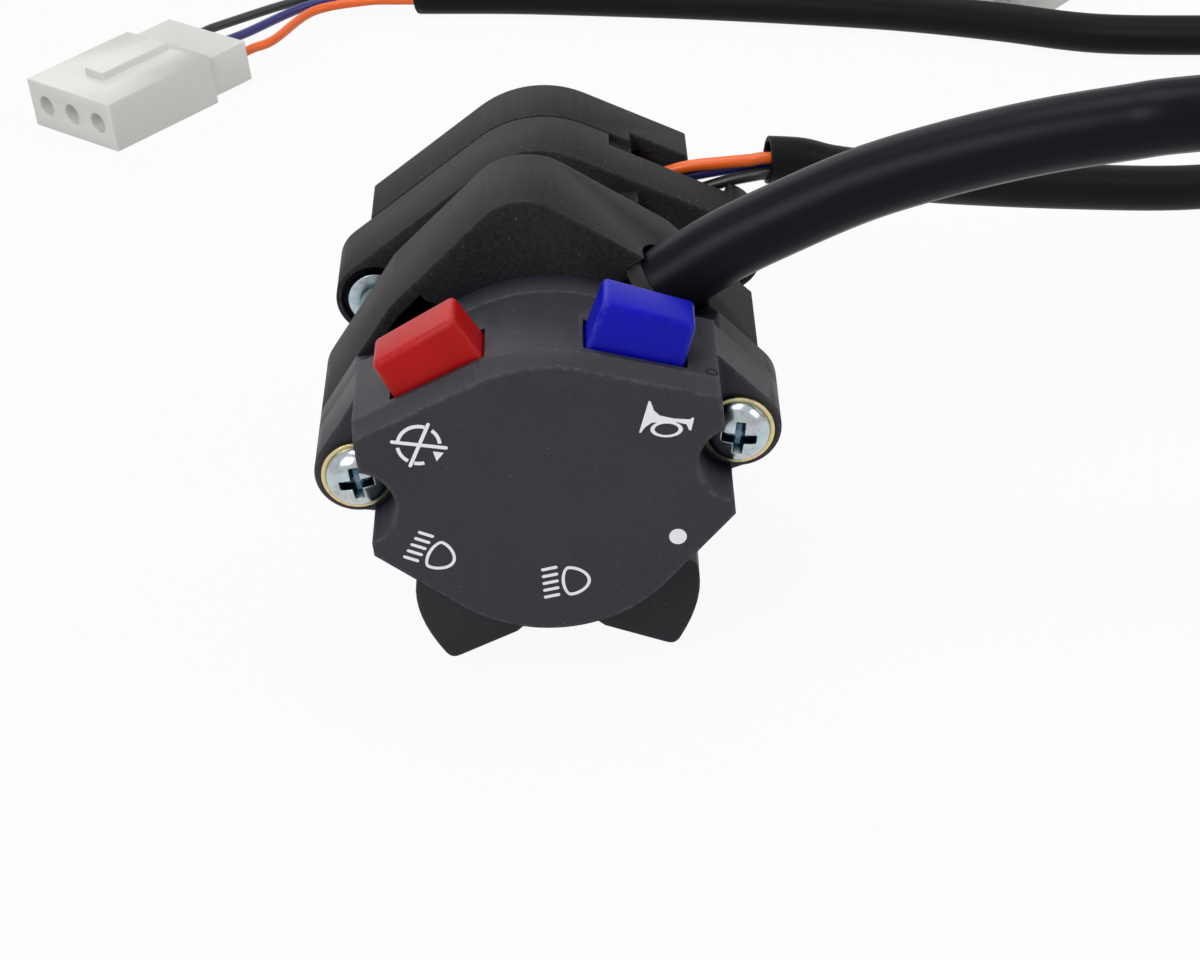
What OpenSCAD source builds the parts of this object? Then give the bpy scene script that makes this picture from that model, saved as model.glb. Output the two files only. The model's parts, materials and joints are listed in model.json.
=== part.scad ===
// Handlebar switch cluster: a front light, horn and stop unit and a rear signal unit on one bar.
// X is right as seen from the face, Y goes to the rear and Z runs along the handlebar.
// The origin is on the bar axis, level with the two clamp screws.

/* [Handlebar] */
// Diameter of the handlebar tube
bar_d = 22; // [21.6:0.1:22.4]
// Clearance all round the tube
bar_clear = 0.1; // [0.05:0.05:0.15]

/* [Front unit] */
// Distance of each clamp screw from the middle
screw_x = 23.7; // [23.5:0.1:24.5]
// Radius of the screw ears
ear_r = 5.4; // [5.2:0.1:5.6]
// Distance from the bar axis to the printed face
face_y = 46.5; // [46:0.1:47.5]
// Distance from the bar axis to the front of the ears
ear_y = 37.4; // [37.2:0.1:37.6]
// Distance from the bar axis to the parting line of cover and base
seam_y = 29.5; // [29.4:0.1:29.8]
// Distance from the bar axis to the back of the base
base_y = 24.9; // [24.6:0.1:25.2]
// Thickness of the face
plate_t = 3.2; // [3:0.1:3.4]
// Half width of the face at its shoulders
face_w = 22.3; // [22.1:0.1:22.6]
// Height of the top of the face
top_z = 17.8; // [17.6:0.1:18]
// Radius of the top arc
top_r = 21.5; // [21:0.1:22]
// Depth of the bottom of the face
bottom_z = 20.3; // [20:0.1:20.6]
// Radius of the bottom arc
bottom_r = 19.2; // [19:0.1:19.5]

/* [Saddle block] */
// Height of the ridge
ridge_z = 28.1; // [27.8:0.1:28.5]
// Radius of the ridge
ridge_r = 7; // [6.5:0.1:7.5]
// Distance from the bar axis to the block's back
saddle_y = 10; // [9.8:0.1:10.2]
// Thickness of the arms
arm_t = 1.5; // [1.4:0.1:1.8]

/* [Light lever] */
// Thickness of the wings
lever_t = 5.4; // [5.2:0.1:5.5]
// Radius of the lever's disc
lever_r = 7.5; // [7.3:0.1:7.6]
// Angle between two places of the lever
lever_step = 22; // [20:0.5:22]
// Slant of the lever in its middle place
lever_rest = 3.5; // [2:0.5:3.5]

/* [Push buttons] */
// Length of a button
button_l = 12.2; // [11.8:0.1:12.4]
// Width of a button, front to back
button_w = 6.8; // [6.6:0.1:6.9]
// Height that a button stands out
button_h = 4.5; // [4.4:0.1:4.7]
// Travel of a button
button_travel = 2.5; // [2:0.1:2.5]
// Slope of a button
button_slope = 24.5; // [24:0.1:25]

/* [Rear unit] */
// Distance from the bar axis to the rear unit
rear_y = 10; // [9.8:0.1:10.2]
// Distance from the bar axis to the parting line of the rear unit
rear_seam = 22; // [21.9:0.1:22.3]
// Distance from the bar axis to the back of the rear unit
rear_back = 33; // [32.8:0.1:33.5]
// Radius of the rear unit's top and bottom
rear_r = 14; // [13.8:0.1:14.2]
// Height of the rear unit's top
rear_z = 18.4; // [18.2:0.1:18.6]
// Travel of the signal slider each way
signal_travel = 4; // [3.5:0.1:4]

/* [Fasteners] */
// Diameter of the clamp screws
screw_d = 4; // [3.8:0.1:4]
// Diameter of the clamp screw heads
head_d = 8; // [7.8:0.1:8.2]
// Height of the clamp screw heads
head_h = 2.3; // [2.1:0.1:2.5]
// Diameter of the washers
washer_d = 9; // [8.8:0.1:9.2]
// Thickness of the washers
washer_t = 0.8; // [0.7:0.1:1]

/* [Leads] */
// Diameter of the main loom
loom_d = 9.2; // [9:0.1:9.2]
// Diameter of the signal sleeve
sleeve_d = 6.6; // [6.4:0.1:6.7]
// Diameter of a single wire
wire_d = 1.7; // [1.5:0.1:1.7]

/* [Clearances] */
// Radial clearance of turning parts
run_gap = 0.06; // [0.04:0.01:0.08]
// Clearance of sliding parts
slide_gap = 0.3; // [0.28:0.02:0.34]

/* [Hidden] */
$fn = 64;

bar_r = bar_d / 2 + bar_clear;
// Places of the lever, front to back.
lever_y0 = face_y - 4.9;
lever_y1 = lever_y0 - lever_t;
slot_y0 = lever_y0 + slide_gap;
slot_y1 = lever_y1 - slide_gap;
axle_r = 2;
hub_r = 4.6;
board_t = 2;
hub_y = seam_y + board_t + 1.9;
board_r = 10;
bridge_t = 1;
// Shoulder and lower corner of the face, right side.
shoulder = [face_w, 11];
corner = [face_w, -6.8];
top_c = [0, top_z - top_r];
bottom_c = [0, bottom_r - bottom_z];
top_t = touch(top_c, top_r, shoulder, 1);
bottom_t = touch(bottom_c, bottom_r, corner, -1);
shoulder_slope = atan2(top_t[1] - shoulder[1], shoulder[0] - top_t[0]);
// Small screws that hold the base to the cover.
cover_screw = [19.2, -4.6];
// The detent stands on this line from the lever's axis.
detent_a = 165;
detent_d = lever_r + 0.6;
nose_r = 1;
leaf_l = 4.2;
// The button's own axis starts at the middle of its outer face.
button_at = [14.4, 20];
// Both buttons stand this much to the right.
button_shift = 0.8;
button_y0 = face_y - 3.3;
button_y1 = button_y0 - button_w;
flange_z = -button_h - 2.5;
flange_t = 1.6;
seat_z = flange_z - flange_t - 4.4;
spring_y = (button_y0 + button_y1) / 2;
// The saddle block's outline, right side.
ridge_slope = 39;
knee = [17.6, 16];
ridge_c = [0, ridge_z - ridge_r];
ridge_t = ridge_c + ridge_r * [sin(ridge_slope), cos(ridge_slope)];
// The bar lies between a pad on the block and a pad on the rear unit.
pad_x = 13.6;
pad_l = 3;
// The loom leaves through the right arm.
loom_dir = [0.88, 0, 0.47];
loom_at = [17.1, -23.3, 14];
loom_r = loom_d / 2;
gland_r = loom_r + 0.6;
// Rear unit.
rear_in = [14, 10];
rear_left = 24;
rear_right = 20.4;
signal_x = 16.6;
slider_y = 27.9;
slider_t = 2.4;
board_y = 24.6;

// Points of the face where a straight line from a corner meets an arc.
function touch(c, r, p, side) =
  let (d = p - c, a = atan2(d[1], d[0]) + side * acos(r / norm(d)))
  c + r * [cos(a), sin(a)];

function flip(p) = [-p[0], p[1]];

// A point on a curve that leaves a towards b and ends at c.
function bend(a, b, c, t) = (1 - t) * (1 - t) * a + 2 * t * (1 - t) * b + t * t * c;

function unit(v) = v / norm(v);

// A smooth line through the points p, with n steps between two points.
function through(p, i, t) =
  let (a = p[max(i - 1, 0)], b = p[i], c = p[i + 1], d = p[min(i + 2, len(p) - 1)])
  0.5 * (2 * b + (c - a) * t + (2 * a - 5 * b + 4 * c - d) * t * t
    + (3 * b - 3 * c + d - a) * t * t * t);

function route(p, n) = concat([for (i = [0:len(p) - 2]) for (k = [0:n - 1]) through(p, i, k / n)],
  [p[len(p) - 1]]);

function heading(p, i) = unit(p[min(i + 1, len(p) - 1)] - p[max(i - 1, 0)]);

function run_length(p) = len(p) < 2 ? 0 : norm(p[1] - p[0])
  + run_length([for (i = [1:len(p) - 1]) p[i]]);

// Extrudes a shape drawn in X and Z from y0 to y1.
module slab(y0, y1) {
  translate([0, y1, 0])
    rotate([90, 0, 0])
      linear_extrude(y1 - y0)
        children();
}

module rod(r, y0, y1, x = 0, z = 0) {
  translate([x, y1, z])
    rotate([90, 0, 0])
      cylinder(h = y1 - y0, r = r);
}

// A block from one corner to the other.
module block(a, b) {
  translate(a)
    cube(b - a);
}

// A tube of the given radius along the points p.
module tube(p, r, sides) {
  n = len(p);
  rings = [for (i = [0:n - 1])
    let (t = heading(p, i), s = unit(cross(t, [0, 0, 1])), u = cross(s, t))
    for (k = [0:sides - 1]) p[i] + r * (cos(360 * k / sides) * s + sin(360 * k / sides) * u)];
  sheet = [for (i = [0:n - 2]) for (k = [0:sides - 1])
    let (a = i * sides + k, b = i * sides + (k + 1) % sides)
    each [[a, b, b + sides], [a, b + sides, a + sides]]];
  first = [for (k = [0:sides - 1]) sides - 1 - k];
  last = [for (k = [0:sides - 1]) (n - 1) * sides + k];
  polyhedron(points = rings, faces = concat(sheet, [first, last]), convexity = 8);
}

// A compression spring up the Z axis, its ends sunk level.
module spring(r, wire, z0, z1, turns) {
  steps = turns * 14;
  path = [for (i = [0:steps]) let (a = 360 * i / 14, z = z0 + wire / 2 + (z1 - z0 - wire) * i / steps)
    [r * cos(a), r * sin(a), z]];
  tube(path, wire / 2, 6);
}

// Outline of the face.
module face2d() {
  polygon([shoulder, top_t, flip(top_t), flip(shoulder), flip(corner), flip(bottom_t), bottom_t,
    corner]);
  intersection() {
    translate(top_c)
      circle(top_r);
    translate([-30, top_t[1]])
      square([60, 30]);
  }
  intersection() {
    translate(bottom_c)
      circle(bottom_r);
    translate([-30, bottom_t[1] - 30])
      square([60, 30]);
  }
}

// Ears of the front unit, with the webs that carry them.
module ears2d() {
  for (s = [-1, 1])
    scale([s, 1]) {
      translate([screw_x, 0])
        circle(ear_r);
      polygon([[15, 10.4], [face_w, 10.4], [screw_x + 4.2, 3.4], [screw_x, 0],
        [screw_x, -ear_r], [18, -6.8], [15, -6.8]]);
    }
}

// Room inside the front cover.
module room2d() {
  intersection() {
    translate(top_c)
      circle(top_r - 2);
    translate([-17.2, -18])
      square([34.4, 38]);
    union() {
      translate(bottom_c)
        circle(bottom_r - 0.6);
      translate([-20, bottom_c[1]])
        square(40);
    }
  }
}

// Where the wings sweep.
module sweep2d() {
  polygon([[-40, -5.75], [-21.2, -5.75], [-19.2, -4.3], [-17, -2.5], [17, -2.5], [19.2, -4.3],
    [21.2, -5.75], [40, -5.75], [40, -45], [-40, -45]]);
}

// Puts a button's own frame in place; side is -1 for left.
module at_button(side) {
  translate([side * button_at[0] + button_shift, 0, button_at[1]])
    rotate([0, side * button_slope, 0])
      scale([side, 1, 1])
        children();
}

// Puts the detent's own frame in place, X away from the lever's axis.
module at_detent(turn = 0) {
  rotate([0, -(detent_a + turn), 0])
    children();
}

module front_cover() {
  color([0.05, 0.05, 0.055]) {
    difference() {
      union() {
        slab(-face_y, -seam_y)
          face2d();
        slab(-ear_y, -seam_y)
          ears2d();
      }
      // The face is cut back round the screw heads.
      for (s = [-1, 1])
        rod(5.2, -face_y - 1, -ear_y, s * screw_x, 0);
      slab(-face_y + plate_t, -seam_y + 1)
        room2d();
      slab(-slot_y0, -slot_y1)
        sweep2d();
      for (s = [-1, 1]) {
        at_button(s) {
          block([-button_l / 2 - slide_gap, -button_y0 - slide_gap, flange_z - 1],
            [button_l / 2 + slide_gap, -button_y1 + slide_gap, 3]);
          block([-6.6, -face_y + plate_t - 0.1, seat_z - 0.9],
            [6.9, -button_y1 + 1.8, flange_z + slide_gap]);
        }
        rod(screw_d / 2 + 0.3, -ear_y - 1, -seam_y + 1, s * screw_x, 0);
        rod(1.1, -seam_y - 4.5, -seam_y + 1, s * cover_screw[0], cover_screw[1]);
      }
      // Bevel along the top of the face, on the arc and on the straight shoulders.
      intersection() {
        translate([0, -face_y, top_c[1]])
          rotate([-90, 0, 0])
            rotate_extrude()
              polygon([[top_r - 2.25, -1], [top_r + 4, -1], [top_r + 4, 4], [top_r + 1.5, 4]]);
        slab(-face_y - 2, -face_y + 6)
          polygon([top_c, top_c + 2 * (top_t - top_c), top_c + 2 * (flip(top_t) - top_c)]);
      }
      for (s = [-1, 1])
        scale([s, 1, 1])
          translate([top_t[0], -face_y, top_t[1]])
            rotate([0, shoulder_slope, 0])
              translate([-0.5, 0, -0.06])
                rotate([90, 0, 90])
                  linear_extrude(20)
                    polygon([[-1, -2.25], [-1, 4], [4, 4], [4, 1.5]]);
      // Blind hole for the axle.
      rod(axle_r + 0.1, -face_y + plate_t - 1, -face_y + plate_t + 1);
    }
    // Seats of the button springs and rests of the detent leaf.
    for (s = [-1, 1])
      at_button(s)
        block([-3.4, -face_y + plate_t - 0.2, seat_z - 1],
          [3.4, -button_y1 - 0.4, seat_z]);
    at_detent()
      for (s = [-1, 1])
        block([detent_d + 1, -face_y + plate_t - 0.2, s * (leaf_l - 0.5) - 0.7],
          [detent_d + 2.5, -slot_y1 - 1.5, s * (leaf_l - 0.5) + 0.7]);
  }
}

module front_base() {
  color([0.05, 0.05, 0.055])
    difference() {
      union() {
        slab(-seam_y, -base_y)
          face2d();
        slab(-seam_y, -base_y)
          ears2d();
      }
      // The shoulders are cut down behind the buttons.
      for (s = [-1, 1])
        scale([s, 1, 1])
          block([12.6, -seam_y - 1, 9.6], [40, -base_y + 1, 30]);
      for (s = [-1, 1]) {
        rod(screw_d / 2 + 0.3, -seam_y - 1, -base_y + 1, s * screw_x, 0);
        rod(1.2, -seam_y - 1, -base_y + 1, s * cover_screw[0], cover_screw[1]);
        rod(2.2, -base_y - 1.4, -base_y + 1, s * cover_screw[0], cover_screw[1]);
      }
      rod(axle_r, -seam_y - 1, -base_y + 1);
      gland_room();
    }
}

// Outline of the saddle block.
module gable2d() {
  for (s = [-1, 1])
    scale([s, 1]) {
      polygon([[0, ridge_t[1]], ridge_t, knee, [screw_x + 4.2, 3.4], [screw_x, 0],
        [screw_x, -ear_r], [13, -17], [0, -17]]);
      translate([screw_x, 0])
        circle(ear_r);
    }
  intersection() {
    translate(ridge_c)
      circle(ridge_r);
    translate([-20, ridge_t[1]])
      square([40, 20]);
  }
}

// Hollow under one arm, right side, beside the middle web.
module arm_hollow2d() {
  difference() {
    polygon([[10.5, 2], [10.5, 21.6 - arm_t * 1.29], [knee[0] - 0.35 * arm_t, knee[1] - 1.2 * arm_t],
      [knee[0] + 8 - 0.35 * arm_t, knee[1] - 1.2 * arm_t - 9.8], [screw_x - ear_r, 4], [17, 2]]);
    translate([screw_x, 0])
      circle(ear_r + 0.2);
    // The front wall ends in a rounded corner.
    translate([0, 18])
      square([13.8, 8]);
    translate([0, 15.5])
      square([11.3, 8]);
    translate([11.3, 18])
      circle(2.5);
  }
}

module pad2d() {
  translate([-pad_x, -13])
    square([2 * pad_x, 24]);
}

// Puts the loom's own frame in place, Z along the loom.
module at_loom() {
  translate(loom_at)
    rotate([0, acos(loom_dir[2] / norm(loom_dir)), atan2(loom_dir[1], loom_dir[0])])
      children();
}

// Room for the loom's bush.
module gland_room() {
  at_loom()
    translate([0, 0, -3])
      cylinder(h = 12, r = gland_r);
}

module saddle_block() {
  color([0.06, 0.06, 0.065])
    difference() {
      union() {
        slab(-base_y, -saddle_y)
          gable2d();
        slab(-saddle_y - 0.2, -saddle_y + pad_l)
          pad2d();
      }
      translate([0, 0, -40])
        cylinder(h = 80, r = bar_r);
      slab(-base_y - 1, -saddle_y - 3.4)
        arm_hollow2d();
      scale([-1, 1, 1])
        slab(-base_y - 1, -saddle_y - 3.4)
          arm_hollow2d();
      for (s = [-1, 1])
        rod(screw_d / 2 + 0.3, -base_y - 1, 0, s * screw_x, 0);
      gland_room();
      // The right ear is flat on its outer side.
      block([screw_x + 3.5, -base_y - 1, -10], [40, -saddle_y + 1, 10]);
    }
}

// One wing of the lever, right side.
module wing2d() {
  outer = [for (i = [0:8]) bend([17.6, -15.4], [18.6, -20.3], [14.8, -26.2], i / 8)];
  tip = [for (i = [1:4]) bend([14.8, -26.2], [14.1, -27.2], [12.9, -26.6], i / 4)];
  polygon(concat([[0, -5], [5, -4.6], [9, -8]], outer, tip, [[5.5, -23.6], [0, -18.8]]));
}

module light_lever() {
  color([0.06, 0.06, 0.065])
    rotate([0, lever_rest, 0])
      difference() {
        union() {
          slab(-lever_y0, -lever_y1) {
            circle(lever_r);
            for (s = [-1, 1])
              scale([s, 1])
                wing2d();
          }
          rod(hub_r, -lever_y1 - 0.2, -hub_y);
        }
        rod(axle_r + run_gap, -lever_y0 - 1, -hub_y + 1);
        for (a = [-1, 0, 1])
          at_detent(lever_rest + a * lever_step)
            rod(nose_r + 0.35, -lever_y0 - 1, -lever_y1 + 1, detent_d, 0);
      }
}

module lever_axle() {
  color([0.7, 0.7, 0.72])
    rod(axle_r, -face_y + plate_t - 0.8, -base_y);
}

module detent_leaf() {
  color([0.7, 0.7, 0.72])
    at_detent() {
      block([detent_d + 0.6, -lever_y0 + 0.6, -leaf_l], [detent_d + 1, -lever_y1 - 1, leaf_l]);
      rod(nose_r, -lever_y0 + 0.6, -lever_y1 - 1, detent_d, 0);
    }
}

module rotor_bridge() {
  color([0.8, 0.62, 0.25])
    rotate([0, lever_rest, 0])
      difference() {
        slab(-hub_y, -hub_y + bridge_t) {
          circle(5);
          for (a = [30, 150, 270])
            rotate(a)
              translate([0, -1.4])
                square([8.6, 2.8]);
        }
        rod(axle_r + run_gap + 0.1, -hub_y - 1, -hub_y + bridge_t + 1);
      }
}

module contact_board() {
  color([0.45, 0.24, 0.1])
    difference() {
      rod(board_r, -seam_y - board_t, -seam_y);
      rod(axle_r + 0.3, -seam_y - board_t - 1, -seam_y + 1);
      for (a = [30, 90, 150, 270])
        rod(0.8, -seam_y - board_t - 1, -seam_y + 1, 7.4 * cos(a), 7.4 * sin(a));
    }
}

module board_contacts() {
  color([0.8, 0.62, 0.25])
    for (a = [30, 90, 150, 270]) {
      rod(1.3, -seam_y - board_t - 0.7, -seam_y - board_t, 7.4 * cos(a), 7.4 * sin(a));
      rod(0.8, -seam_y - board_t, -seam_y, 7.4 * cos(a), 7.4 * sin(a));
    }
}

// Cap, stem and retaining flange of a button.
module button(side) {
  at_button(side) {
    slab(-button_y0, -button_y1)
      polygon([[-button_l / 2, flange_z], [button_l / 2, flange_z], [button_l / 2, -button_h + 0.3],
        [button_l / 2 - 0.4, -0.7], [button_l / 2 - 1, 0], [1 - button_l / 2, 0],
        [0.4 - button_l / 2, -0.7], [-button_l / 2, -button_h + 0.3]]);
    block([-6, -button_y0, flange_z - flange_t], [6.6, -button_y1 + 1.5, flange_z]);
  }
}

module button_spring(side) {
  at_button(side)
    translate([0, -spring_y, 0])
      spring(1.8, 0.4, seat_z, flange_z - flange_t, 4);
}

module button_bridge(side) {
  at_button(side)
    block([-4.6, -button_y1 + 0.2, flange_z - flange_t - 0.6],
      [4.6, -button_y1 + 1.4, flange_z - flange_t]);
}

// Two strips that stand on the base and end below the bridge.
module button_terminals(side) {
  z = flange_z - flange_t - 0.6 - button_travel - 0.2;
  at_button(side)
    for (s = [-1, 1])
      block([s * 3.4 - 0.6, -button_y1 + 0.2, z - 0.8], [s * 3.4 + 0.6, -seam_y, z]);
}

module stop_button() {
  color([0.75, 0.06, 0.05])
    button(-1);
}

module stop_spring() {
  color([0.7, 0.7, 0.72])
    button_spring(-1);
}

module stop_bridge() {
  color([0.8, 0.62, 0.25])
    button_bridge(-1);
}

module stop_terminals() {
  color([0.8, 0.62, 0.25])
    button_terminals(-1);
}

module horn_button() {
  color([0.03, 0.06, 0.6])
    button(1);
}

module horn_spring() {
  color([0.7, 0.7, 0.72])
    button_spring(1);
}

module horn_bridge() {
  color([0.8, 0.62, 0.25])
    button_bridge(1);
}

module horn_terminals() {
  color([0.8, 0.62, 0.25])
    button_terminals(1);
}

// Small screws from the back of the base into the cover.
module cover_screws() {
  color([0.7, 0.7, 0.72])
    for (s = [-1, 1]) {
      rod(1.1, -seam_y - 4, -base_y - 1, s * cover_screw[0], cover_screw[1]);
      rod(2.1, -base_y - 1.4, -base_y, s * cover_screw[0], cover_screw[1]);
    }
}

// Pan head with a cross recess, facing the front.
module pan_head(r, h) {
  difference() {
    intersection() {
      rod(r, -h, 0);
      translate([0, -h + r * 1.9, 0])
        sphere(r * 1.9);
    }
    for (a = [20, 110])
      rotate([0, a, 0])
        block([-2.6, -h - 1, -0.55], [2.6, -h + 1.5, 0.55]);
  }
}

module clamp_screws() {
  color([0.72, 0.74, 0.76])
    for (s = [-1, 1])
      translate([s * screw_x, -ear_y - washer_t, 0]) {
        pan_head(head_d / 2, head_h);
        rod(screw_d / 2, 0, ear_y + washer_t + rear_y + 8.5);
      }
}

module clamp_washers() {
  color([0.8, 0.62, 0.25])
    for (s = [-1, 1])
      difference() {
        rod(washer_d / 2, -ear_y - washer_t, -ear_y, s * screw_x, 0);
        rod(screw_d / 2 + 0.15, -ear_y - 2, 0, s * screw_x, 0);
      }
}

// Outline of the rear unit: arcs above and below, straight to the ears.
module rear2d() {
  c = [0, rear_z - rear_r];
  e = [screw_x, 0];
  d = e - c;
  a = atan2(d[1], d[0]) + 90 - asin((rear_r - ear_r) / norm(d));
  n = [cos(a), sin(a)];
  p = c + rear_r * n;
  q = e + ear_r * n;
  for (s = [-1, 1], t = [-1, 1])
    scale([s, t]) {
      polygon([[0, 0], [0, p[1]], p, q, e]);
      translate(e)
        circle(ear_r);
    }
  for (t = [-1, 1])
    scale([1, t])
      intersection() {
        translate(c)
          circle(rear_r);
        translate([-20, p[1]])
          square([40, 20]);
      }
}

module rear_room2d() {
  translate(-rear_in)
    square(2 * rear_in);
}

module signal_housing() {
  color([0.07, 0.07, 0.075])
    difference() {
      union() {
        difference() {
          union() {
            slab(rear_y, rear_seam)
              rear2d();
            slab(rear_y - pad_l, rear_y + 0.2)
              pad2d();
          }
          slab(rear_y + 4, rear_seam + 1)
            rear_room2d();
        }
        // Posts for the board.
        for (s = [-1, 1], t = [-1, 1])
          rod(1.5, rear_y + 3.8, board_y, s * (rear_in[0] - 3), t * (rear_in[1] - 2));
      }
      translate([0, 0, -40])
        cylinder(h = 80, r = bar_r);
      for (s = [-1, 1]) {
        rod(3.7, rear_y - 5, rear_y + 10, s * screw_x, 0);
        rod(4.7, rear_y - 5, rear_y + 1.2, s * screw_x, 0);
        rod(1.4, rear_y + 4, rear_seam + 1, s * signal_x, 0);
      }
      // The right slope is lowered where the leads leave.
      translate([10.3, rear_seam - 3.4, 14.5])
        rotate([0, 31.4, 0])
          block([0, 0, -2.4], [18, 5, 6]);
    }
}

// Plated bushes in the rear ears.
module thread_inserts() {
  color([0.72, 0.74, 0.76])
    for (s = [-1, 1])
      difference() {
        rod(3.7, rear_y - 0.4, rear_y + 10, s * screw_x, 0);
        rod(screw_d / 2, rear_y - 5, rear_y + 11, s * screw_x, 0);
      }
}

module signal_cover() {
  color([0.055, 0.055, 0.06])
    difference() {
      union() {
        intersection() {
          slab(rear_seam + 0.6, rear_back)
            rear2d();
          block([-rear_left, rear_seam, -30], [rear_right, rear_back + 1, 30]);
        }
        // Lip inside the groove of the parting line.
        slab(rear_seam, rear_seam + 0.7)
          intersection() {
            scale(0.93)
              rear2d();
            translate([1.4 - rear_left, -30])
              square([rear_left + rear_right - 2.8, 60]);
          }
      }
      slab(rear_seam - 1, rear_back - 2.4)
        rear_room2d();
      // Slot of the slider.
      block([-2.8 - slide_gap, rear_back - 5, -2.8 - slide_gap - signal_travel],
        [2.8 + slide_gap, rear_back + 1, 2.8 + slide_gap + signal_travel]);
      for (s = [-1, 1]) {
        rod(1.5, rear_seam - 1, rear_back + 1, s * signal_x, 0);
        rod(2.5, rear_back - 2, rear_back + 1, s * signal_x, 0);
      }
      // Way out for the leads.
      block([13, rear_seam - 1, 1.7], [30, rear_seam + 3.4, 30]);
    }
  // Rests of the slider's leaf.
  color([0.055, 0.055, 0.06])
    for (t = [-1, 1])
      block([8.7, slider_y, t * 4.6 - 0.6], [rear_in[0] + 0.4, rear_back - 2.2, t * 4.6 + 0.6]);
}

module signal_slider() {
  color([0.06, 0.06, 0.065])
    difference() {
      union() {
        block([-7, slider_y, -5], [7, slider_y + slider_t, 5]);
        block([-2.8, slider_y + 1, -2.8], [2.8, rear_back + 1.4, 2.8]);
        block([-4.6, rear_back + 0.4, -3.6], [4.6, rear_back + 3.4, 3.6]);
        for (z = [-3, 0, 3])
          block([-4.6, rear_back + 3.2, z - 0.6], [4.6, rear_back + 4.6, z + 0.6]);
      }
      for (z = [-1, 0, 1])
        rod(1.25, slider_y - 1, slider_y + slider_t + 1, 7.8, z * signal_travel);
    }
}

module signal_bridge() {
  color([0.8, 0.62, 0.25])
    block([-1.2, slider_y - 0.8, -3.2], [1.2, slider_y, 3.2]);
}

module signal_board() {
  color([0.45, 0.24, 0.1])
    difference() {
      block([1 - rear_in[0], board_y, 0.6 - rear_in[1]],
        [rear_in[0] - 1, board_y + 1.6, rear_in[1] - 0.6]);
      for (z = [-6, 0, 6])
        rod(0.8, board_y - 1, board_y + 3, 0, z);
    }
}

module signal_contacts() {
  color([0.8, 0.62, 0.25])
    for (z = [-6, 0, 6]) {
      rod(1.3, board_y + 1.6, slider_y - 1, 0, z);
      rod(0.8, board_y - 1, board_y + 1.6, 0, z);
    }
}

module slider_leaf() {
  color([0.7, 0.7, 0.72]) {
    block([8.3, slider_y + 0.3, -5.2], [8.7, slider_y + 2.2, 5.2]);
    rod(0.85, slider_y + 0.3, slider_y + 2.2, 7.8, 0);
  }
}

module signal_screws() {
  color([0.7, 0.7, 0.72])
    for (s = [-1, 1])
      translate([s * signal_x, 0, 0]) {
        rod(1.4, rear_y + 4.4, rear_back - 2);
        translate([0, rear_back - 2, 0])
          rotate([0, 0, 180])
            pan_head(2.3, 1.9);
      }
}

module loom_gland() {
  color([0.04, 0.04, 0.04])
    at_loom()
      difference() {
        translate([0, 0, -3])
          cylinder(h = 3.4, r = gland_r - 0.01);
        translate([0, 0, -4])
          cylinder(h = 8, r = loom_r + 0.02);
      }
}

floor_z = -28.7;
loom_points = concat([for (k = [-3, 2]) loom_at + k * unit(loom_dir)],
  [[24.1, -23.3, 17.6], [30.6, -23.2, 20.1], [42.1, -23.5, 24], [53.3, -24.6, 26.7],
  [64.2, -26.1, 28.7], [74.8, -27.6, 29.9], [82, -28.3, 30.3], [104, -26.5, 28.5], [126, -13, 20],
  [142, 9, 6], [150.5, 36, -9], [154, 66, -20.5]],
  [for (p = [[154, 92], [153.6, 114], [152.2, 136], [150.2, 157], [145.5, 172.3], [134.5, 183.2],
    [119, 187.3], [105.4, 184.4], [95.5, 177.2], [90, 171.4]]) [p[0], p[1], floor_z + loom_r]]);
loom_path = route(loom_points, 4);

module main_loom() {
  color([0.03, 0.03, 0.03])
    tube(loom_path, loom_r, 12);
}

// A flat white housing with its front at X = 0, running back to X = long.
module plug_body(ways, pitch, long, high) {
  w = ways * pitch + 1.4;
  difference() {
    union() {
      block([0, -w / 2, 0], [long * 0.72, w / 2, high]);
      block([long * 0.7, -w / 2 + 1, 0.8], [long, w / 2 - 1, high - 0.8]);
      block([long * 0.2, -2.6, high - 0.1], [long * 0.66, 2.6, high + 1.5]);
    }
    for (i = [0:ways - 1]) {
      translate([-1, (i - (ways - 1) / 2) * pitch, high / 2])
        rotate([0, 90, 0])
          cylinder(h = long * 0.6, r = 1.9);
    }
  }
}

module at_signal_plug() {
  translate([-88.3, 144.7, floor_z])
    rotate([0, 0, 45])
      children();
}

module at_loom_plug() {
  translate([loom_path[len(loom_path) - 1][0], loom_path[len(loom_path) - 1][1], floor_z])
    rotate([0, 0, 47])
      translate([-30, 0, 0])
        children();
}

module signal_plug() {
  color([0.9, 0.9, 0.86])
    at_signal_plug()
      plug_body(3, 7.4, 32, 9);
}

module loom_plug() {
  color([0.9, 0.9, 0.86])
    at_loom_plug()
      plug_body(3, 8, 30, 9);
}

module plug_terminals() {
  color([0.8, 0.62, 0.25])
    at_signal_plug()
      for (i = [-1, 0, 1])
        translate([5, i * 7.4, 4.5])
          rotate([0, 90, 0])
            difference() {
              cylinder(h = 13.2, r = 1.9);
              translate([0, 0, -1])
                cylinder(h = 9, r = 1.2);
            }
}

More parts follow.
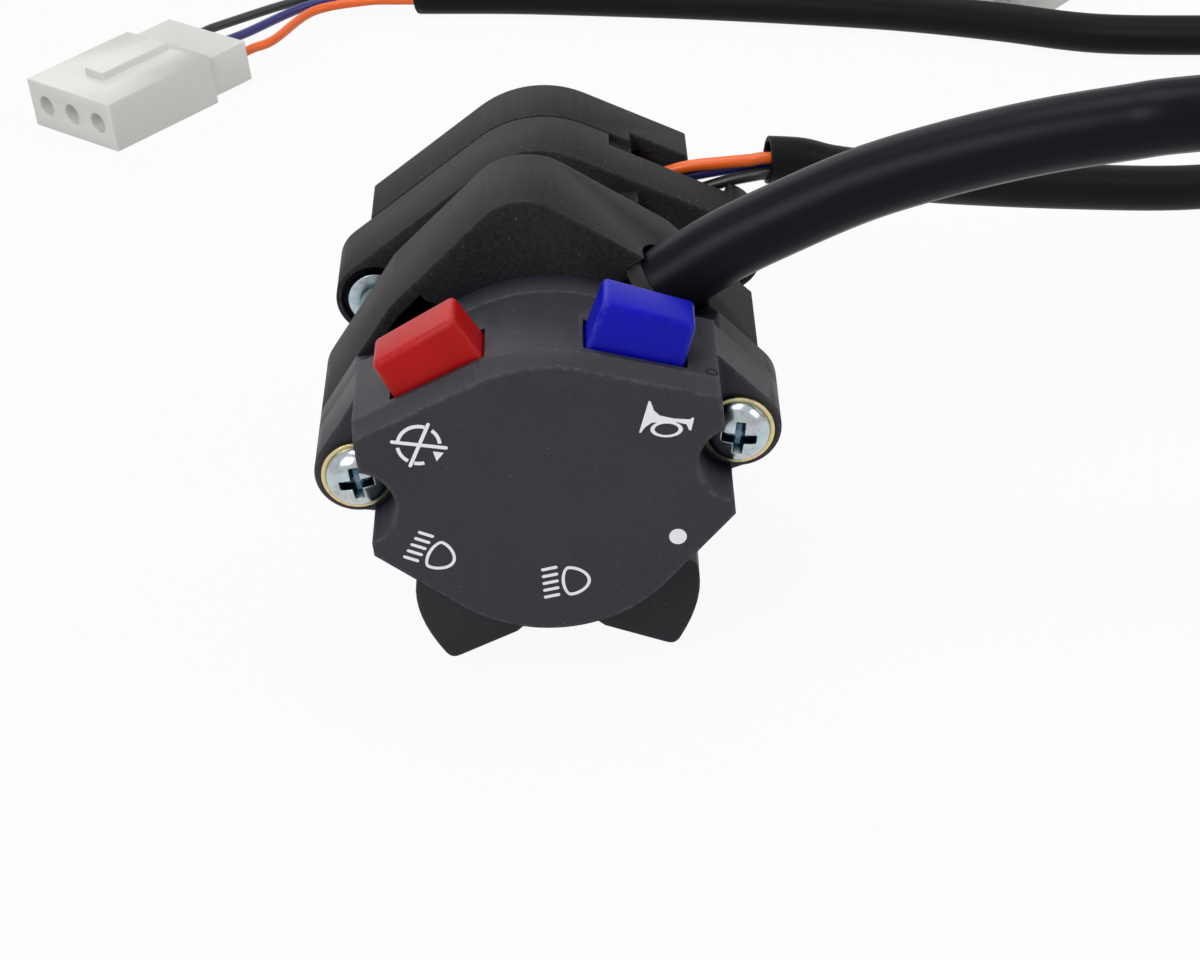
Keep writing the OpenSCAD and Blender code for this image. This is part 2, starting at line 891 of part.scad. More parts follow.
// The three leads of the rear unit up to the sleeve's mouth.
mouth = [31.4, 23.3, 7.2];
wire_end = mouth - [0.15, 0, 0];
orange_path = route([[13.4, 23.6, 6.25], [16.4, 23.5, 6.9], [20.6, 23.2, 7.7], [26, 23, 7.7],
  [29, 23, 7.6], wire_end + [0, -0.3, 0.4]], 4);
blue_path = route([[13.4, 23.8, 4.5], [16.6, 23.9, 5.1], [20.6, 24.1, 5.9], [26, 24.2, 6.2],
  [29, 24.2, 6.3], wire_end + [0, 0.9, -0.9]], 4);
black_path = route([[13.4, 23.6, 2.75], [17, 23.5, 3.2], [21.4, 23, 4.1], [26, 22.7, 5.1],
  [29, 22.6, 5.4], wire_end - [0, 0.7, 1.75]], 4);

module wire_orange() {
  color([0.9, 0.25, 0.03])
    tube(orange_path, wire_d / 2, 8);
}

module wire_blue() {
  color([0.05, 0.06, 0.35])
    tube(blue_path, wire_d / 2, 8);
}

module wire_black() {
  color([0.03, 0.03, 0.03])
    tube(black_path, wire_d / 2, 8);
}

sleeve_z = floor_z + sleeve_d / 2;
sleeve_path = route([mouth, mouth + [4.6, 0.6, -1.2], [40.4, 25.4, 3.6], [48.2, 29.1, -0.2],
  [56.8, 34.1, -4.6], [74.5, 42.6, -11.9], [93, 50.5, -18.3], [110, 59.5, -22.8],
  [125, 71, sleeve_z], [135, 86, sleeve_z], [136, 102, sleeve_z], [127, 114, sleeve_z],
  [111, 119.5, sleeve_z], [90, 127, sleeve_z], [74, 137.4, sleeve_z],
  [58, 147, sleeve_z], [41, 155.4, sleeve_z], [23.5, 163.4, sleeve_z], [7.7, 170, sleeve_z],
  [-10, 177, sleeve_z], [-28, 183, sleeve_z]], 4);

module signal_sleeve() {
  color([0.03, 0.03, 0.03])
    tube(sleeve_path, sleeve_d / 2, 10);
}

// The far ends of the three leads, from the sleeve into the white housing.
module plug_wires() {
  n = len(sleeve_path);
  t = heading(sleeve_path, n - 1);
  side = cross(t, [0, 0, 1]);
  e = sleeve_path[n - 1] + 0.15 * t;
  plug_end = [-88.3, 144.7, floor_z + 4.5] + 32 * [cos(45), sin(45), 0];
  back = [cos(45), sin(45), 0];
  color([0.9, 0.25, 0.03])
    for (i = [-1, 0, 1])
      let (q = plug_end + i * 7.4 * cross(back, [0, 0, 1]))
        tube(route([e - i * 1.9 * side, e - i * 1.9 * side + 4 * t, e - i * 2.4 * side + 10 * t,
          [-48.5, 184.5, -25] + i * 3.4 * [0.2, -1, 0], q + 9 * back + [0, 0, -0.3],
          q + 4 * back, q + 0.1 * back], 4), wire_d / 2, 8);
}

echo(loom_length_mm = run_length(loom_path), sleeve_length_mm = run_length(sleeve_path));

front_cover();
front_base();
saddle_block();
light_lever();
lever_axle();
detent_leaf();
rotor_bridge();
contact_board();
board_contacts();
stop_button();
stop_spring();
stop_bridge();
stop_terminals();
horn_button();
horn_spring();
horn_bridge();
horn_terminals();
cover_screws();
clamp_screws();
clamp_washers();
signal_housing();
thread_inserts();
signal_cover();
signal_slider();
signal_bridge();
signal_board();
signal_contacts();
slider_leaf();
signal_screws();
loom_gland();
main_loom();
loom_plug();
wire_orange();
wire_blue();
wire_black();
signal_sleeve();
plug_wires();
signal_plug();
plug_terminals();
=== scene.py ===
"""Handlebar switch cluster: finishes, print, buttons, leads and a white table around the solids."""

import json
import math

import bmesh
import bpy
from mathutils import Matrix, Vector


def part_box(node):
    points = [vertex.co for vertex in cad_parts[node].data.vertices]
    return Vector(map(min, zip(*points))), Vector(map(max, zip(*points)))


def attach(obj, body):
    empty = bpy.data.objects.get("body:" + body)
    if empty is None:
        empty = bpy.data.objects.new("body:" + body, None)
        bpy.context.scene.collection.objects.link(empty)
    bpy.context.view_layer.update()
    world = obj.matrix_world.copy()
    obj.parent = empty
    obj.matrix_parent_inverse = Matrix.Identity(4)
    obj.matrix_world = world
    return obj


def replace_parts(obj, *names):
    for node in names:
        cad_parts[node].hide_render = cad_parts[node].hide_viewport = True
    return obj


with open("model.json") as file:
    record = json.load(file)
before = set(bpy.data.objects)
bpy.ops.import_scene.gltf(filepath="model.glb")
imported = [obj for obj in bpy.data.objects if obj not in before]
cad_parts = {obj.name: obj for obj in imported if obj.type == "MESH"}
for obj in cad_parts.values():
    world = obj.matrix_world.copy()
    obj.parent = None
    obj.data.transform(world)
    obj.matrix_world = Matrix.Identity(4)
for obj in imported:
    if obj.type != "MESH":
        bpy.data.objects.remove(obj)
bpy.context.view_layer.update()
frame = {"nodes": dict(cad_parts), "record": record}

bl_info = {
    "name": "Handlebar Switch Cluster",
    "version": (1, 0, 0),
    "blender": (4, 5, 0),
    "location": "View3D > Sidebar > Switch Cluster",
    "description": "Dresses the solids of a handlebar switch cluster",
    "category": "Add Mesh",
}

# Lengths are in millimetres, unless a comment says otherwise.
MM = 0.001
UP = Vector((0, 0, 1))
FULL_TURN = 2 * math.pi
FLOOR_Z = -28.7
FACE_Y = -46.5

# Camera of the photo: place, its right, its look, and focal length and width in pixels.
CAMERA_AT = Vector((29.0, -394.6, 201.5))
CAMERA_RIGHT = Vector((0.9915, -0.0108, -0.1295))
CAMERA_LOOK = Vector((-0.0559, 0.8642, -0.5))
FOCAL_PIXELS = 3327.5
PHOTO_WIDE = 1200
SENSOR_WIDE = 36
CLIP_START = 10

# Light panels: place and size in metres, power in watts.
PANELS = {
    "key_panel": ((-0.4, -0.6, 0.68), 0.5, 4.6),
    "top_panel": ((0.05, 0.1, 0.9), 0.5, 3.0),
    "right_panel": ((0.75, -0.15, 0.45), 0.4, 1.2),
    "back_panel": ((-0.25, 0.75, 0.5), 0.5, 1.0),
}
# Strength of the room in diffuse light, and how white the camera sees the table.
ROOM_DIFFUSE = 0.4
TABLE_WHITE = 0.94
TABLE_COLOUR = (0.62, 0.62, 0.63, 1)
TABLE_HALF = 3000
TABLE_GAP = 0.2

# Slope, place and size of the two push buttons, as in the solids.
BUTTON_AT = (14.4, 20.0)
BUTTON_SHIFT = 0.8
BUTTON_SLOPE = 24.5
BUTTON_Y = (-43.2, -36.4)
BUTTON_LONG = 12.2
BUTTON_TAPER = 0.95
FLANGE_Z = (-8.6, -7.0)
FLANGE_LIP = 0.6
# Corners of a cap that are nearer than this in height are at one level.
LEVEL = 0.1

# Routes of the leads, as in the solids.
ROUTE_STEPS = 8
LOOM_AT = Vector((17.1, -23.3, 14))
LOOM_DIR = Vector((0.88, 0, 0.47)).normalized()
LOOM_R = 4.6
LOOM_Z = FLOOR_Z + LOOM_R
LOOM_POINTS = [LOOM_AT + k * LOOM_DIR for k in (-3, 2)] + [
    (24.1, -23.3, 17.6), (30.6, -23.2, 20.1), (42.1, -23.5, 24), (53.3, -24.6, 26.7),
    (64.2, -26.1, 28.7), (74.8, -27.6, 29.9), (82, -28.3, 30.3), (104, -26.5, 28.5),
    (126, -13, 20), (142, 9, 6), (150.5, 36, -9), (154, 66, -20.5), (154, 92, LOOM_Z),
    (153.6, 114, LOOM_Z), (152.2, 136, LOOM_Z), (150.2, 157, LOOM_Z), (145.5, 172.3, LOOM_Z),
    (134.5, 183.2, LOOM_Z), (119, 187.3, LOOM_Z), (105.4, 184.4, LOOM_Z), (95.5, 177.2, LOOM_Z),
    (90, 171.4, LOOM_Z)]
# Section of the gland: radius and place along the loom.
GLAND = ((4.62, -3), (5.15, -3), (5.15, -1.5), (4.85, -1), (4.62, -1))
GLAND_STEPS = 48
SLEEVE_R = 3.3
SLEEVE_WALL = 0.6
SLEEVE_Z = FLOOR_Z + SLEEVE_R
MOUTH = Vector((31.4, 23.3, 7.2))
SLEEVE_POINTS = [
    MOUTH, MOUTH + Vector((4.6, 0.6, -1.2)), (40.4, 25.4, 3.6), (48.2, 29.1, -0.2),
    (56.8, 34.1, -4.6), (74.5, 42.6, -11.9), (93, 50.5, -18.3), (110, 59.5, -22.8),
    (125, 71, SLEEVE_Z), (135, 86, SLEEVE_Z), (136, 102, SLEEVE_Z), (127, 114, SLEEVE_Z),
    (111, 119.5, SLEEVE_Z), (90, 127, SLEEVE_Z), (74, 137.4, SLEEVE_Z), (58, 147, SLEEVE_Z),
    (41, 155.4, SLEEVE_Z), (23.5, 163.4, SLEEVE_Z), (7.7, 170, SLEEVE_Z), (-10, 177, SLEEVE_Z),
    (-28, 183, SLEEVE_Z)]
WIRE_R = 0.85
WIRE_GAP = 0.15
WIRE_END = MOUTH - Vector((WIRE_GAP, 0, 0))
LEADS = {
    "orange": [(13.4, 23.6, 6.25), (16.4, 23.5, 6.9), (20.6, 23.2, 7.7), (26, 23, 7.7),
               (29, 23, 7.6), WIRE_END + Vector((0, -0.3, 0.4))],
    "blue": [(13.4, 23.8, 4.5), (16.6, 23.9, 5.1), (20.6, 24.1, 5.9), (26, 24.2, 6.2),
             (29, 24.2, 6.3), WIRE_END + Vector((0, 0.9, -0.9))],
    "black": [(13.4, 23.6, 2.75), (17, 23.5, 3.2), (21.4, 23, 4.1), (26, 22.7, 5.1),
              (29, 22.6, 5.4), WIRE_END - Vector((0, 0.7, 1.75))],
}
# How much of their spread at the mouth the leads keep inside the sleeve.
LEAD_SPREAD = 0.8
PLUG_FRONT = Vector((-88.3, 144.7, FLOOR_Z))
PLUG_BACK = Vector((math.cos(math.radians(45)), math.sin(math.radians(45)), 0))
PLUG_LONG = 32
PLUG_PITCH = 7.4
PLUG_HIGH = 9
# Wires from the sleeve to the plug: slots, spread and straight run at the sleeve and past it, the
# straight run into the plug, and where they fan out.
PLUG_WIRES = ("wire_black_pvc", "wire_blue_pvc", "wire_orange_pvc")
PLUG_WIRE_SPREAD = (1.9, 2.4)
PLUG_WIRE_OUT = (4, 10)
PLUG_WIRE_IN = (9, 4, 0.1)
FAN_AT = Vector((-48.5, 184.5, -25))
FAN_STEP = Vector((0.68, -3.4, 0))
FAN_SAG = Vector((0, 0, -0.3))

# Clamp screws: head, shank, the head's round, and arm, half width, depth and taper of the cross.
HEAD_R = 4.0
HEAD_HIGH = 2.3
SHANK_R = 2.0
DOME = ((0.9, -2.28), (1.8, -2.14), (2.6, -1.86), (3.25, -1.42), (3.7, -0.86), (3.93, -0.3))
CROSS = (2.75, 0.72)
CROSS_DEEP = 1.5
CROSS_CLEAR = 0.5
CROSS_TAPER = 0.5
CROSS_TURN = {-1: -4, 1: 14}
SCREW_STEPS = 56

# Lamp sign: a beam's two ends, and the glass: middle, reach forward and back, half height, pinch.
BEAMS = 5
BEAM = ((-3.25, -0.14), (-1.35, 0.14))
BEAM_PITCH = 1.13
GLASS_X = 0.35
GLASS_REACH = (3.0, 1.1)
GLASS_HALF = 2.4
GLASS_PINCH = 0.12
GLASS_STEPS = 40
# Stop sign: the broken circle, the arrow's point and the two crossing lines.
STOP_R = 2.55
STOP_ARCS = ((4, 50), (72, 172), (188, 238), (256, 284))
STOP_POINT = ((1.7, -0.9), (3.0, -1.1), (2.1, -2.25))
STOP_LINES = (((-3.2, 0.48), (3.3, -0.42)), ((1.23, 2.83), (-1.1, -2.83)))
# Horn sign: outline of bell and tube, and the loop: line, half width and height, middle.
HORN = ((-2.25, 2.4), (-2.0, 2.3), (-1.65, 1.15), (-0.95, 0.4), (0.75, -0.05), (2.65, -0.2),
        (3.0, 0.05), (3.2, 0.0), (2.85, -1.7), (2.6, -1.65), (2.3, -0.85), (1.2, -0.55),
        (-0.9, -0.6), (-1.85, -0.55), (-2.7, -1.2), (-3.2, -1.95), (-3.4, -1.9))
HORN_LOOP_LINE = 0.3
HORN_LOOP_HALF = (1.7, 0.95)
HORN_LOOP_AT = (-0.1, -1.5)
DOT_R = 1.08
DOT_STEPS = 40
ARC_STEPS = 32
# Lift of each printed shape past the last.
PRINT_STEP = 0.006

# Marks left by the mould, drawn as dark rings of painted shade: place, the way the surface faces,
# half width and half height.
MARKS = {
    "gate_mark": ((12.64, -19.47, 19.87), (0.629, 0, 0.777), (1.0, 0.75)),
    "ejector_mark": ((21.5, -43.3, 11.28), (0.346, 0, 0.938), (0.8, 0.8)),
}
MARK_LINE = 0.22
MARK_HIGH = 0.05
MARK_STEPS = 28

# Meshes: weld distances, and angles past which an edge is sharp, rounded or no longer flat.
WELD = 1e-4
SOLID_WELD = 2e-3
SHARP_ANGLE = math.radians(35)
ROUNDED_ANGLE = math.radians(32)
FLAT_ANGLE = math.radians(1)

DUST = (0.3, 0.3, 0.32)
SLEEVE_DUST = (0.06, 0.06, 0.07)
RAINBOW = (0.5, 0.78, 0.86)


def colour_choice(name, about, default):
    return bpy.props.FloatVectorProperty(name=name, description=about, subtype="COLOR",
                                         default=default, min=0, max=1)


def length_choice(name, about, default, low, high):
    """A length that is given in millimetres and kept in metres."""
    return bpy.props.FloatProperty(name=name, description=about, default=default * MM,
                                   min=low * MM, max=high * MM, unit="LENGTH", precision=5)


class ClusterColours(bpy.types.PropertyGroup):
    """Colours that a user would change."""

    body: colour_choice("Body", "Colour of the front housing and the lever", (0.033, 0.032, 0.038))
    block: colour_choice("Block", "Colour of the saddle block and the signal switch",
                         (0.017, 0.0168, 0.0178))
    stop: colour_choice("Stop button", "Colour of the stop button", (0.45, 0.006, 0.005))
    horn: colour_choice("Horn button", "Colour of the horn button", (0.003, 0.004, 0.42))
    ink: colour_choice("Print", "Colour of the printed signs", (0.95, 0.95, 1.0))
    loom: colour_choice("Loom", "Colour of the main loom", (0.006, 0.005, 0.009))
    sleeve: colour_choice("Signal sleeve", "Colour of the signal lead's sleeve",
                          (0.006, 0.006, 0.007))
    nylon: colour_choice("Plugs", "Colour of the plug housings", (0.72, 0.72, 0.69))


class ClusterSizes(bpy.types.PropertyGroup):
    """Sizes that a user would change."""

    ink: length_choice("Print thickness", "How far the print stands on the face", 0.06, 0.02, 0.2)
    stroke: length_choice("Print stroke", "Width of the printed lines", 0.45, 0.2, 0.8)
    edge: length_choice("Moulded edge", "Radius of the moulded edges", 0.35, 0.05, 0.8)
    plug_edge: length_choice("Plug edge", "Radius of the plugs' edges", 0.3, 0.05, 0.6)
    button_edge: length_choice("Button edge", "Radius of the buttons' edges", 0.7, 0.1, 1.5)


def colours():
    return bpy.context.scene.cluster_colours


def sizes():
    return bpy.context.scene.cluster_sizes


class Value:
    """A node's socket that Python's own signs work on."""

    def __init__(self, graph, socket):
        self.graph = graph
        self.socket = socket

    def maths(self, operation, a, b):
        return self.graph.node("ShaderNodeMath", {0: a, 1: b}, operation=operation)

    def __add__(self, other):
        return self.maths("ADD", self, other)

    __radd__ = __add__

    def __sub__(self, other):
        return self.maths("SUBTRACT", self, other)

    def __rsub__(self, other):
        return self.maths("SUBTRACT", other, self)

    def __mul__(self, other):
        return self.maths("MULTIPLY", self, other)


class Graph:
    """The nodes of a material or a world."""

    def __init__(self, owner, output):
        owner.use_nodes = True
        self.tree = owner.node_tree
        self.tree.nodes.clear()
        self.output = self.tree.nodes.new(output)

    def node(self, kind, inputs=None, out=0, **settings):
        made = self.tree.nodes.new(kind)
        for key, value in settings.items():
            setattr(made, key, value)
        for key, value in (inputs or {}).items():
            if isinstance(value, Value):
                self.tree.links.new(value.socket, made.inputs[key])
            else:
                made.inputs[key].default_value = value
        return Value(self, made.outputs[out])

    def seen(self):
        """1 for what the camera sees, also mirrored or through something, and 0 for diffuse light."""
        camera, *others = (self.node("ShaderNodeLightPath", out=f"Is {kind} Ray")
                           for kind in ("Camera", "Glossy", "Transmission"))
        for other in others:
            camera = camera.maths("MAXIMUM", camera, other)
        return camera

    def show(self, value):
        self.tree.links.new(value.socket, self.output.inputs["Surface"])


class Finish(Graph):
    """A material for a piece."""

    def __init__(self, name):
        self.material = bpy.data.materials.new(name)
        super().__init__(self.material, "ShaderNodeOutputMaterial")
        self.point = self.node("ShaderNodeTexCoord", out="Object")

    def noise(self, size, detail, rough):
        """Noise whose features are about the given size."""
        return self.node("ShaderNodeTexNoise", {"Vector": self.point, "Scale": 1 / (size * MM),
                                                "Detail": detail, "Roughness": rough})

    def ramp(self, value, low, high):
        """0 up to the low value, 1 from the high one, and smooth between."""
        return self.node("ShaderNodeMapRange", {0: value, 1: low, 2: high},
                         interpolation_type="SMOOTHSTEP")

    def mix(self, factor, a, b):
        shades = [x if isinstance(x, Value) else (*x, 1) for x in (a, b)]
        return self.node("ShaderNodeMix", {0: factor, 6: shades[0], 7: shades[1]}, 2,
                         data_type="RGBA")

    def rounded(self, radius):
        """The surface's direction with edges rounded to a radius in metres."""
        return self.node("ShaderNodeBevel", {"Radius": radius}, samples=4)

    def wear_and_edge_highlight(self, radius):
        """Where an edge within the radius, in metres, has wear and a painted highlight, in patches.
        """
        facing = self.node("ShaderNodeNewGeometry", out="Normal")
        turn = self.node("ShaderNodeVectorMath", {0: self.rounded(radius), 1: facing}, "Value",
                         operation="DOT_PRODUCT")
        edge_patches = self.ramp(self.noise(1.1, 5.0, 0.7), 0.34, 0.68)
        return self.ramp(1 - turn, 0.004, 0.09) * edge_patches

    def painted_corner_shade(self, reach, low=0.25, high=0.85):
        """1 in corners that are narrower than the reach, 0 on open faces: the mask of painted shade
        in corners.
        """
        clear = self.node("ShaderNodeAmbientOcclusion", {"Distance": reach * MM}, "AO", samples=6)
        return 1 - self.ramp(clear, low, high)

    def bump(self, height, depth, strength, normal=None):
        inputs = {"Height": height, "Distance": depth * MM, "Strength": strength}
        if normal is not None:
            inputs["Normal"] = normal
        return self.node("ShaderNodeBump", inputs)

    def surface(self, **inputs):
        names = {key.replace("_", " "): value for key, value in inputs.items()}
        self.show(self.node("ShaderNodeBsdfPrincipled", names))
        return self.material


def shade(colour, factor):
    return tuple(min(1.0, c * factor) for c in colour)


def tinted(colour, factors):
    return tuple(k * c for k, c in zip(factors, colour))


def moulded(name, colour, rough, grain=0.22, depth=0.02, glow=0.2, fleck=0.35):
    """Moulded plastic: spark grain, smears, specks of dust, lighter edges that are partly wear and
    partly painted highlight, and painted shade in corners.
    """
    f = Finish(name)
    edge = sizes().edge
    spark = f.noise(grain, 3.0, 0.6)
    cloud = f.noise(9, 3.0, 0.55)
    smear = f.ramp(f.noise(2.2, 5.0, 0.7), 0.58, 0.76)
    speck = f.ramp(f.noise(0.5, 1.0, 0.4), 0.76, 0.82)
    tone = f.mix(cloud, shade(colour, 0.8), shade(colour, 1.24))
    tone = f.mix(f.ramp(spark, 0.38, 0.62) * fleck, tone, shade(colour, 1.6))
    tone = f.mix(smear * 0.25, tone, shade(colour, 2.2))
    tone = f.mix(speck * 0.4, tone, DUST)
    # Lighter edges: partly wear, partly painted highlight.
    tone = f.mix(f.wear_and_edge_highlight(2.5 * edge) * 0.85, tone, shade(colour, 3.6))
    # Painted shade in corners, tinted purple.
    tone = f.mix(f.painted_corner_shade(8) * 0.7, tone, tinted(colour, (0.3, 0.26, 0.7)))
    return f.surface(
        Base_Color=tone,
        Roughness=rough + (cloud - 0.5) * 0.16 + (spark - 0.5) * 0.1 - smear * 0.06,
        IOR=1.5, Specular_IOR_Level=glow,
        Normal=f.bump(spark, depth, 0.8, f.rounded(edge)))


def glossy_button(name, colour):
    """Bright button plastic with a faint grain, spots of wear, paler edges that are partly wear and
    partly painted highlight, and painted shade in corners.
    """
    f = Finish(name)
    edge = sizes().button_edge
    grain = f.noise(0.3, 3.0, 0.6)
    cloud = f.noise(4, 3.0, 0.5)
    rub = f.ramp(f.noise(0.9, 6.0, 0.75), 0.6, 0.78)
    pale = tuple(0.55 * c + 0.3 for c in colour)
    tone = f.mix(cloud, shade(colour, 0.88), shade(colour, 1.14))
    tone = f.mix(rub * 0.16, tone, pale)
    # Paler edges: partly wear, partly painted highlight.
    tone = f.mix(f.wear_and_edge_highlight(1.3 * edge) * 0.3, tone, pale)
    # Painted shade in corners.
    tone = f.mix(f.painted_corner_shade(4) * 0.5, tone, shade(colour, 0.4))
    return f.surface(
        Base_Color=tone, Roughness=0.34 + (cloud - 0.5) * 0.12 + rub * 0.14,
        IOR=1.49, Specular_IOR_Level=0.15,
        Normal=f.bump(grain, 0.012, 0.7, f.rounded(edge)))


def plated(name, colour, rough, rainbow=0.0):
    """Plated metal with dull patches, a passivated tint and painted shade, tinted green, in its
    recesses.
    """
    f = Finish(name)
    mottle = f.noise(1.4, 4.0, 0.6)
    fine = f.noise(0.12, 2.0, 0.5)
    dull = f.ramp(f.noise(0.9, 3.0, 0.6), 0.5, 0.72)
    tone = f.mix(mottle, shade(colour, 0.8), shade(colour, 1.12))
    tone = f.mix(dull * 0.45, tone, shade(colour, 0.35))
    if rainbow:
        tint = f.ramp(f.noise(2.6, 2.0, 0.5), 0.42, 0.66)
        tone = f.mix(tint * rainbow, tone, RAINBOW)
    # Painted shade in the recesses, tinted green.
    tone = f.mix(f.painted_corner_shade(2.5, 0.45, 0.95), tone, tinted(colour, (0.07, 0.18, 0.24)))
    return f.surface(
        Base_Color=tone, Metallic=1.0, Roughness=rough + (mottle - 0.5) * 0.2,
        Normal=f.bump(fine, 0.006, 0.6, f.rounded(0.2 * MM)))


def printed(name, colour):
    """Pad-printed ink, a little uneven where it lies on the grained face."""
    f = Finish(name)
    thin = f.ramp(f.noise(0.35, 4.0, 0.65), 0.55, 0.8)
    return f.surface(
        Base_Color=f.mix(thin * 0.3, colour, shade(colour, 0.6)), Roughness=0.55 + thin * 0.15,
        Normal=f.bump(f.noise(0.25, 2.0, 0.5), 0.01, 0.6))


def sleeving(name, colour, rough=0.36, glow=0.09):
    """Extruded soft sleeve: satin, with a fine skin and slow uneven gloss along it."""
    f = Finish(name)
    skin = f.noise(0.35, 3.0, 0.6)
    slow = f.noise(14, 3.0, 0.5)
    dust = f.ramp(f.noise(0.7, 6.0, 0.8), 0.64, 0.8)
    tone = f.mix(slow, shade(colour, 0.8), shade(colour, 1.25))
    return f.surface(
        Base_Color=f.mix(dust * 0.12, tone, SLEEVE_DUST),
        Roughness=rough + (slow - 0.5) * 0.12 + dust * 0.1, IOR=1.5, Specular_IOR_Level=glow,
        Normal=f.bump(skin, 0.015, 0.5))


def wire_skin(name, colour):
    """Thin wire insulation, satin and a little uneven."""
    f = Finish(name)
    slow = f.noise(5, 2.0, 0.5)
    fine = f.noise(0.2, 3.0, 0.6)
    return f.surface(
        Base_Color=f.mix(slow, shade(colour, 0.85), shade(colour, 1.1)),
        Roughness=0.36 + (fine - 0.5) * 0.15, Normal=f.bump(fine, 0.008, 0.5))


def milky(name, colour):
    """Milky nylon that light enters a little, with flow marks."""
    f = Finish(name)
    flow = f.noise(6, 3.0, 0.6)
    fine = f.noise(0.25, 2.0, 0.5)
    return f.surface(
        Base_Color=f.mix(flow, shade(colour, 0.94), shade(colour, 1.04)),
        Roughness=0.38 + (flow - 0.5) * 0.14, IOR=1.53, Subsurface_Weight=0.25,
        Subsurface_Radius=(3 * MM, 3 * MM, 2.6 * MM), Subsurface_Scale=0.5,
        Normal=f.bump(fine, 0.01, 0.5, f.rounded(sizes().plug_edge)))


def laminate(name, colour):
    """Pressed paper board with fibres."""
    f = Finish(name)
    fibre = f.noise(0.5, 5.0, 0.7)
    return f.surface(Base_Color=f.mix(fibre, shade(colour, 0.75), shade(colour, 1.25)),
                     Roughness=0.55 + (fibre - 0.5) * 0.2, Normal=f.bump(fibre, 0.02, 0.5))


FINISHES = {}


def finish(name, make, *values, **options):
    """The finish of that name, made once."""
    if name not in FINISHES:
        FINISHES[name] = make(name, *values, **options)
    return FINISHES[name]


def slot_finish(slot):
    """The finish for one of the record's material slots."""
    look = colours()
    recipes = {
        "body_plastic": ("moulded_body", moulded, look.body, 0.5),
        # The lever gets the body colour darkened: painted shade.
        "lever_plastic": ("moulded_lever", moulded, shade(look.body, 0.55), 0.46),
        "red_plastic": ("stop_red", glossy_button, look.stop),
        "blue_plastic": ("horn_blue", glossy_button, look.horn),
        "zinc": ("bright_zinc", plated, (0.5, 0.53, 0.55), 0.2, 0.3),
        "spring_steel": ("spring_steel", plated, (0.6, 0.6, 0.62), 0.3),
        "yellow_zinc": ("yellow_zinc", plated, (0.92, 0.72, 0.36), 0.32, 0.05),
        "contact_brass": ("contact_brass", plated, (0.83, 0.63, 0.28), 0.28),
        "board": ("paper_board", laminate, (0.3, 0.15, 0.05)),
        "gland_rubber": ("bush_rubber", moulded, (0.012, 0.012, 0.012), 0.6),
        "sleeve_pvc": ("sleeve_skin", sleeving, look.sleeve, 0.45, 0.08),
        "wire_orange_pvc": ("wire_orange_skin", wire_skin, (0.85, 0.13, 0.01)),
        "wire_blue_pvc": ("wire_blue_skin", wire_skin, (0.02, 0.02, 0.16)),
        "wire_black_pvc": ("wire_black_skin", wire_skin, (0.012, 0.012, 0.012)),
        "nylon": ("milky_nylon", milky, look.nylon),
    }
    return finish(*recipes[slot])


def set_finish(obj, material):
    obj.data.materials.clear()
    obj.data.materials.append(material)


def placed(name, data):
    """A new object in the scene."""
    obj = bpy.data.objects.new(name, data)
    bpy.context.scene.collection.objects.link(obj)
    return obj


def dressed(obj, body, slot, material=None):
    """Makes an object a piece of a body, with the slot's finish or its own."""
    set_finish(obj, material or slot_finish(slot))
    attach(obj, body)
    return obj


def mesh_from(name, bm):
    mesh = bpy.data.meshes.new(name)
    bm.to_mesh(mesh)
    bm.free()
    return mesh


def piece(name, bm, body, slot, material=None, smooth=True):
    """Turns a bmesh in millimetres into a piece that rides on a body."""
    bmesh.ops.scale(bm, vec=(MM, MM, MM), verts=bm.verts)
    bmesh.ops.remove_doubles(bm, verts=bm.verts, dist=WELD * MM)
    bmesh.ops.recalc_face_normals(bm, faces=bm.faces)
    mesh = mesh_from(name, bm)
    if smooth:
        mesh.shade_smooth()
        mesh.set_sharp_from_angle(angle=SHARP_ANGLE)
    return dressed(placed(name, mesh), body, slot, material)


def softened(node, body, slot, width, material=None):
    """A copy of a moulded node with its edges rounded."""
    bm = bmesh.new()
    bm.from_mesh(frame["nodes"][node].data)
    bmesh.ops.remove_doubles(bm, verts=bm.verts, dist=SOLID_WELD * MM)
    bmesh.ops.dissolve_limit(bm, angle_limit=FLAT_ANGLE, verts=bm.verts, edges=bm.edges)
    mesh = mesh_from(node + "_moulded", bm)
    mesh.shade_smooth()
    obj = placed(node + "_moulded", mesh)
    rounding = obj.modifiers.new("rounding", "BEVEL")
    rounding.width = width
    rounding.segments = 2
    rounding.limit_method = "ANGLE"
    rounding.angle_limit = ROUNDED_ANGLE
    rounding.harden_normals = True
    dressed(obj, body, slot, material)
    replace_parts(obj, node)
    return obj


def through(points, i, t):
    """The smooth line of the solids between points i and i + 1."""
    last = len(points) - 1
    a, b, c, d = (points[max(i - 1, 0)], points[i], points[i + 1], points[min(i + 2, last)])
    return 0.5 * (2 * b + (c - a) * t + (2 * a - 5 * b + 4 * c - d) * t ** 2
                  + (3 * b - 3 * c + d - a) * t ** 3)


def route(points):
    """The smooth line through all the points."""
    points = [Vector(p) for p in points]
    line = [through(points, i, k / ROUTE_STEPS) for i in range(len(points) - 1)
            for k in range(ROUTE_STEPS)]
    return line + [points[-1]]


def run_length(line):
    return sum((b - a).length for a, b in zip(line, line[1:]))


